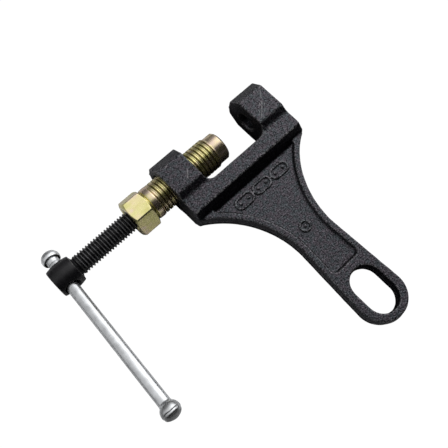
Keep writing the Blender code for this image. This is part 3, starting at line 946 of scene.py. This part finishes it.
# The ring functions below give rings (x, radius, share 0..1 of painted shade: the thread root
# share, and more deep in the bore).
def hex_rings(theta):
    from_z = math.pi / 2 - theta  # from +Z towards +Y
    off_flat = np.mod(from_z - HEX_TURN, math.pi / 3) - math.pi / 6
    corner_r = HEX_FLAT_R / math.cos(math.pi / 6)
    hexagon = soft_min(HEX_FLAT_R / np.cos(off_flat), corner_r - 0.05, 0.25)
    length = HEX_END_X - HEX_START_X
    stations = [
        np.arange(0.0, HEX_BEVEL, 0.1),
        np.arange(HEX_BEVEL, length - HEX_BEVEL, 0.7),
        np.arange(length - HEX_BEVEL, length + 1e-6, 0.1),
    ]
    rings = [(HEX_START_X, radius, 0.0) for radius in (6.2, 6.6, 6.8)]
    for x in np.concatenate(stations):
        cone = 6.85 + min(x, length - x) * 1.73
        rings.append((HEX_START_X + x, soft_min(hexagon, cone, 0.12), 0.0))
    return rings + [(HEX_END_X, radius, 0.0) for radius in (6.7, 6.1)]


def outer_thread_rings(theta):
    rings = []
    for x in np.arange(BOLT_THREAD_X, -3.9, 0.08):
        share = ease(thread(x, theta, GUIDE_PITCH, 0.50, 0.10, GUIDE_SHIFT))
        seam = crest_seam(x, theta, GUIDE_PITCH, 0.13, GUIDE_SHIFT)
        run = unit((x - BOLT_THREAD_X) / 0.3) * unit((-4.5 - x) / 0.3)
        top = 6.5 - max(0.0, (x + 4.9) * 0.62)
        cut = (BOLT_THREAD_DEPTH * share + BOLT_SEAM_DEPTH * seam) * run
        rings.append((x, np.maximum(top - cut, 5.8), unit(share + 0.45 * seam) * run))
    return rings


def bore_rings(theta):
    """Inside, from the pin hole back to the hexagon."""
    # third values: painted shade, darker deeper in the bore
    rings = [(-4.0, 2.72, 0.5), (-5.6, 4.3, 0.8)]
    for x in np.arange(NUT_START_X, -43.9, -SCREW_PITCH / 8):
        share = thread(x, theta, SCREW_PITCH)
        rings.append((x, NUT_BORE_R + NUT_THREAD_DEPTH * share * unit(NUT_START_X - x), 0.8))
    rings += [(x, radius, 0.3) for x, radius in BORE_MOUTH]
    return rings + [(HEX_START_X, 5.8, 0.0)]


def build_guide_bolt():
    theta = np.arange(BOLT_SEGMENTS) * 2 * math.pi / BOLT_SEGMENTS  # from +Y towards +Z
    rings = hex_rings(theta)
    rings += [(x, radius, 0.0) for x, radius in COLLAR]
    rings += outer_thread_rings(theta)
    rings += [(x, radius, 0.0) for x, radius in rounded(BOLT_NOSE, 3)]
    rings += bore_rings(theta)
    x, radius, root = (
        np.concatenate([np.full(BOLT_SEGMENTS, value, float) for value in column])
        for column in zip(*rings)
    )
    theta = np.tile(theta, len(rings))
    skin = noise(x, radius * np.cos(theta), radius * np.sin(theta), 1.6, 7)
    radius = radius + 0.012 * skin * (root < 0.5)
    points = np.stack([x, radius * np.cos(theta), radius * np.sin(theta)], 1)
    i = np.arange(len(rings))[:, None]
    j = np.arange(BOLT_SEGMENTS)[None]
    k = (j + 1) % BOLT_SEGMENTS
    ring, after = i * BOLT_SEGMENTS, ((i + 1) % len(rings)) * BOLT_SEGMENTS
    quads = np.stack([ring + j, after + j, after + k, ring + k], -1).reshape(-1, 4)
    obj = make_object("guide_bolt_body", points, quads, GOLD, attributes={"root": root})
    fix_direction(obj)
    sharpen(obj, 40)
    register(obj, "guide_bolt", "guide_bolt")


# ----------------------------------------------------------------------- push screw
def build_push_screw():
    step = 0.14
    low, high = (-5.0, -6.3, -6.3), (45.0, 6.3, 6.3)
    points, quads, bend = surface(screw_sdf, low, high, step, bend_reach=0.25, lipschitz=1.3)
    place = placement(CROSS_HOLE - np.array([HOLE_OFFSET, 0, 0]), (1, 0, 0), BAR_DIR)
    radius = np.hypot(points[:, 1], points[:, 2])
    # lighter crests: wear, with a painted highlight along them
    crest_wear_and_highlight = unit((radius - 3.82) / 0.10) * unit((points[:, 0] - 6.5) / 0.5)
    wear_and_painted_light = {"edge": np.clip(bend * 1.6, -1, 1.5), "crest_wear_and_highlight": crest_wear_and_highlight}
    obj = make_object("push_screw_body", points, quads, OXIDE, place, wear_and_painted_light)
    register(obj, "push_screw", "push_screw")


# ------------------------------------------------------------------------ drive pin
# x, radius, rounding
PIN_CORNERS = (
    (-30.25, 0, 0), (-30.25, 3.9, 0.4), (-27.3, 3.9, 0.3), (-26.4, 2.8, 0.3),
    (-25.7, 2.3, 0.5), (-1.5, 2.3, 0.2), (-1.0, 1.8, 0.15), (-1.0, 0, 0),
)


def build_drive_pin():
    obj = turned("drive_pin_body", rounded(PIN_CORNERS, 4), 64, STEEL, limit=0.6)
    sharpen(obj, 35)
    register(obj, "drive_pin", "drive_pin")


# ---------------------------------------------------------------------- sliding bar
# The bar's own frame: X along the bar, from the centre of the screw's cross hole
KNOB_X, CAP_X = 62.4, -10.0

# Offset outwards from the knob's datum, radius: the swelling from rod to knob
KNOB_NECK = [
    (-2.75, 2.42), (-2.3, 2.78), (-1.9, 3.08), (-1.4, 3.32),
    (-0.9, 3.47), (-0.4, 3.55), (0.05, 3.57), (0.4, 3.54),
]
DOME_X, DOME_R, DOME_LENGTH, DOME_STEPS = 0.62, 3.30, 1.96, 14
# x, radius, rounding of the rod, from inside the cap to the knob
ROD_CORNERS = (
    (-10.6, 0, 0), (-10.6, 1.6, 0.15), (-6.82, 1.6, 0), (-6.82, 2.27, 0.08),
    (59.1, 2.27, 0.6), (KNOB_X + KNOB_NECK[0][0], KNOB_NECK[0][1], 0),
)
# Offset outwards from the cap's datum, radius: collar, dished ring and rim of the cap
CAP_DISH = [
    (-3.1, 2.30), (-2.4, 2.34), (-1.7, 2.42), (-1.1, 2.52), (-0.6, 2.64), (-0.35, 2.74),
    (-0.25, 2.84), (-0.32, 2.94), (-0.7, 3.06), (-1.05, 3.14), (-1.25, 3.22), (-1.28, 3.31),
    (-1.15, 3.41), (-0.9, 3.50), (-0.5, 3.56), (0.0, 3.57), (0.4, 3.54),
]
# x, radius, rounding of the cap's end and its socket
CAP_SOCKET = (
    (-6.95, 2.30, 0), (-6.9, 2.26, 0.04), (-6.9, 1.92, 0.1), (-10.95, 1.92, 0.1), (-10.95, 0, 0),
)


def dome():
    """Offset and radius from the small ledge to the pole, for knob and cap alike."""
    points = [(0.52, 3.46), (0.56, 3.34), (DOME_X, DOME_R)]
    for k in range(1, DOME_STEPS + 1):
        angle = math.radians(90) * k / DOME_STEPS
        radius = DOME_R * math.cos(angle) ** 0.9 if k < DOME_STEPS else 0.0
        points.append((DOME_X + DOME_LENGTH * math.sin(angle) ** 0.84, radius))
    return points


def hammered(points):
    """Makes the bar slightly uneven, with small dents on its knob."""
    x, y, z = points.T
    radius = np.maximum(np.hypot(y, z), 1.0)
    uneven = 0.018 * noise(x, y, z, 3.0, 11) + 0.010 * noise(x, y, z, 1.2, 12)
    on_knob = unit((x - 59.6) / 1.5)
    dent = (0.06 * noise(x, y, z, 2.2, 13) + 0.03 * noise(x, y, z, 1.0, 15)) * on_knob
    scale = 1 + uneven / radius + dent / radius
    y, z = y * scale, z * scale
    x = x + 0.45 * noise(x * 0.1, y, z, 2.3, 14) * unit((x - 62.0) / 0.6)
    return np.stack([x, y, z], 1)


def add_painted_shade(obj):
    """Painted shade on the knob, on the cap's end and in the cap's dished ring."""
    coords = np.zeros(len(obj.data.vertices) * 3, np.float32)
    obj.data.vertices.foreach_get("co", coords)
    coords = coords.reshape(-1, 3) / MM - AXIS - CROSS_HOLE
    along = coords @ BAR_DIR
    radius = np.linalg.norm(coords - along[:, None] * BAR_DIR, axis=1)
    knob = 0.22 * unit((along - 59.6) / 1.2) + 0.34 * unit((along - 63.6) / 0.5)
    ends = knob + 0.3 * unit((-11.3 - along) / 0.45)
    dish = 0.88 * np.exp(-(((radius - 2.86) / 0.26) ** 2)) * (along > -9.95) * (along < -8.7)
    set_attribute(obj.data, "painted_shade", np.maximum(ends, dish))


def build_bar():
    place = placement(CROSS_HOLE, BAR_DIR, (0, 0, 1))
    knob = [(KNOB_X + out, radius) for out, radius in KNOB_NECK[1:] + dome()]
    rod = rounded(ROD_CORNERS, 6) + knob
    cap = [(CAP_X - out, radius) for out, radius in dome()[::-1] + CAP_DISH[::-1]]
    cap += rounded(CAP_SOCKET, 4)
    # object name, profile, segments, shaping, piece replaced
    parts = (
        ("tommy_bar_rod", rod, 72, hammered, "tommy_bar"),
        ("bar_end_cap_dome", cap, 64, None, "bar_end_cap"),
    )
    for name, profile, segments, shape, piece in parts:
        obj = turned(name, profile, segments, ZINC, 0.5, place, shape)
        sharpen(obj, 42)
        # painted shade on the bar's ends and in the cap's dished ring
        add_painted_shade(obj)
        register(obj, piece, "tommy_bar")


build_frame()
build_guide_bolt()
build_push_screw()
build_drive_pin()
build_bar()

# ---------------------------------------------------------------- stage, in metres
FLOOR_HALF, FLOOR_GAP = 2.0, 0.00015
KEY_POSITION, KEY_TARGET = (0.42, 0.13, 0.42), (0, -0.01, 0)


def paper_look():
    """Pale to the camera; for bounced light, darker far away and under the frame."""
    net = new_look("studio_floor_look")
    shade = net.ramp(net.noise(size=60.0), [(0.3, 0.80), (0.7, 0.82)])
    net.finish(Base_Color=shade, Roughness=0.9)
    ray = net.camera_ray()
    glow = net.add("ShaderNodeEmission", Color=(1.0, 1.0, 1.0, 1.0), Strength=1.08)
    paper = net.add("ShaderNodeBsdfDiffuse", Color=(0.58, 0.58, 0.58, 1.0))
    principled = net.tree.nodes["Principled BSDF"].outputs[0]
    seen = net.mix_shaders(share=0.93, first=principled, second=glow.outputs[0])
    distance = net.add("ShaderNodeVectorMath", "LENGTH")
    net.put(distance, 0, net.coords["Object"])
    far = net.range(distance.outputs["Value"], span=(0.09, 0.30))
    bounce = net.ramp(far, [(0.0, 0.80), (0.45, 0.26), (1.0, 0.03)])
    lit = net.range(net.attribute("open"), span=(0.0, 1.0), to=(0.04, 1.0))
    net.put(paper, "Color", net.mix(lit, (0.0, 0.0, 0.0), bounce))
    final = net.mix_shaders(ray, paper.outputs[0], seen)
    net.put(net.tree.nodes["Material Output"], "Surface", final)
    return net.owner


def floor():
    lowest = min(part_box(piece)[0].z for piece in ("frame", "tommy_bar", "push_screw"))
    fine = np.arange(-0.140, 0.1401, 0.0035)
    ticks = np.concatenate([[-FLOOR_HALF, -0.5], fine, [0.5, FLOOR_HALF]])
    count = len(ticks)
    x, y = grid_points([ticks, ticks]).T
    i, j = grid_points([np.arange(count - 1)] * 2).T
    first = i * count + j
    faces = np.stack([first, first + count, first + count + 1, first + 1], 1)
    mesh = bpy.data.meshes.new("studio_floor")
    points = np.stack([x, y, np.full(x.size, lowest - FLOOR_GAP)], 1)
    mesh.from_pydata(points.tolist(), [], faces.tolist())
    # contact shade of the frame on the paper, in mm from the screw axis
    x, y = x / MM - AXIS[0], y / MM - AXIS[1]
    head = np.hypot(np.maximum(np.abs(x) - 27.0, 0), np.maximum(np.abs(y + 4.5) - 14.0, 0))
    handle = np.where(y < -14.0, np.maximum(flank_distance(x, y), np.abs(x) - 27.0), 99.0)
    set_attribute(mesh, "open", ease(unit((np.minimum(head, handle) - 1.0) / 14.0)))
    obj = bpy.data.objects.new("studio_floor", mesh)
    bpy.context.scene.collection.objects.link(obj)
    mesh.materials.append(paper_look())


def world():
    """A soft dome: brightest high over +X, dark towards -Y, dimmer far over +Y."""
    studio = bpy.data.worlds.new("studio")
    bpy.context.scene.world = studio
    net = Nodes(studio)
    direction = net.coords["Generated"]
    facing = net.add("ShaderNodeVectorMath", "DOT_PRODUCT")
    net.put(facing, 0, direction)
    net.put(facing, 1, Vector((0.75, 0.25, 0.60)).normalized())
    # cosine to the brightest direction, brightness
    lobe = ((-1.0, 0.25), (-0.35, 0.55), (0.42, 0.80), (0.80, 1.20), (0.93, 1.65), (1.0, 2.0))
    stops = [((cos + 1) / 2, (level / 2.0, level / 2.0, level / 1.97)) for cos, level in lobe]
    half = net.range(facing.outputs["Value"], span=(-1.0, 1.0))
    colour = net.ramp(half, stops, interpolation="EASE")
    along_y = net.add("ShaderNodeSeparateXYZ", Vector=direction).outputs["Y"]
    near = net.range(along_y, span=(-0.36, 0.08), smooth=True)
    far = net.range(along_y, span=(0.46, 0.92), to=(2.0, 0.30), smooth=True)
    background = net.tree.nodes["Background"]
    net.put(background, "Color", colour)
    net.put(background, "Strength", net.times(near, far))
    # seen directly, the surround is as pale as the paper
    backdrop = net.add("ShaderNodeBackground", Color=(0.93, 0.93, 0.93, 1))
    final = net.mix_shaders(net.camera_ray(), background.outputs[0], backdrop.outputs[0])
    net.put(net.tree.nodes["World Output"], "Surface", final)


def key_light():
    light = bpy.data.lights.new("key_softbox", "AREA")
    light.shape = "RECTANGLE"
    light.size = light.size_y = 0.22
    light.energy = 0.12
    obj = bpy.data.objects.new("key_softbox", light)
    obj.location = KEY_POSITION
    aim = Vector(KEY_TARGET) - Vector(KEY_POSITION)
    obj.rotation_euler = aim.to_track_quat("-Z", "Y").to_euler()
    bpy.context.scene.collection.objects.link(obj)


# The camera's own axes in the world, and its place in mm from the screw axis
CAMERA_RIGHT = (0.72301, -0.69083, -0.00055)
CAMERA_UP = (0.65175, 0.68184, 0.33213)
CAMERA_BACK = (-0.22907, -0.24050, 0.94323)
CAMERA_PLACE = np.array([-68.84, -75.15, 198.13])


def camera():
    lens = bpy.data.cameras.new("camera")
    lens.sensor_width = 36.0
    lens.lens = 45.814018
    lens.clip_start = 0.005
    lens.clip_end = 20.0
    obj = bpy.data.objects.new("camera", lens)
    place = (CAMERA_PLACE + AXIS) * MM
    rows = zip(CAMERA_RIGHT, CAMERA_UP, CAMERA_BACK, place)
    obj.matrix_world = Matrix([*rows, (0, 0, 0, 1)])
    bpy.context.scene.collection.objects.link(obj)
    bpy.context.scene.camera = obj


floor()
world()
key_light()
camera()
bpy.context.scene.view_settings.view_transform = "Standard"
bpy.context.scene.view_settings.look = "None"
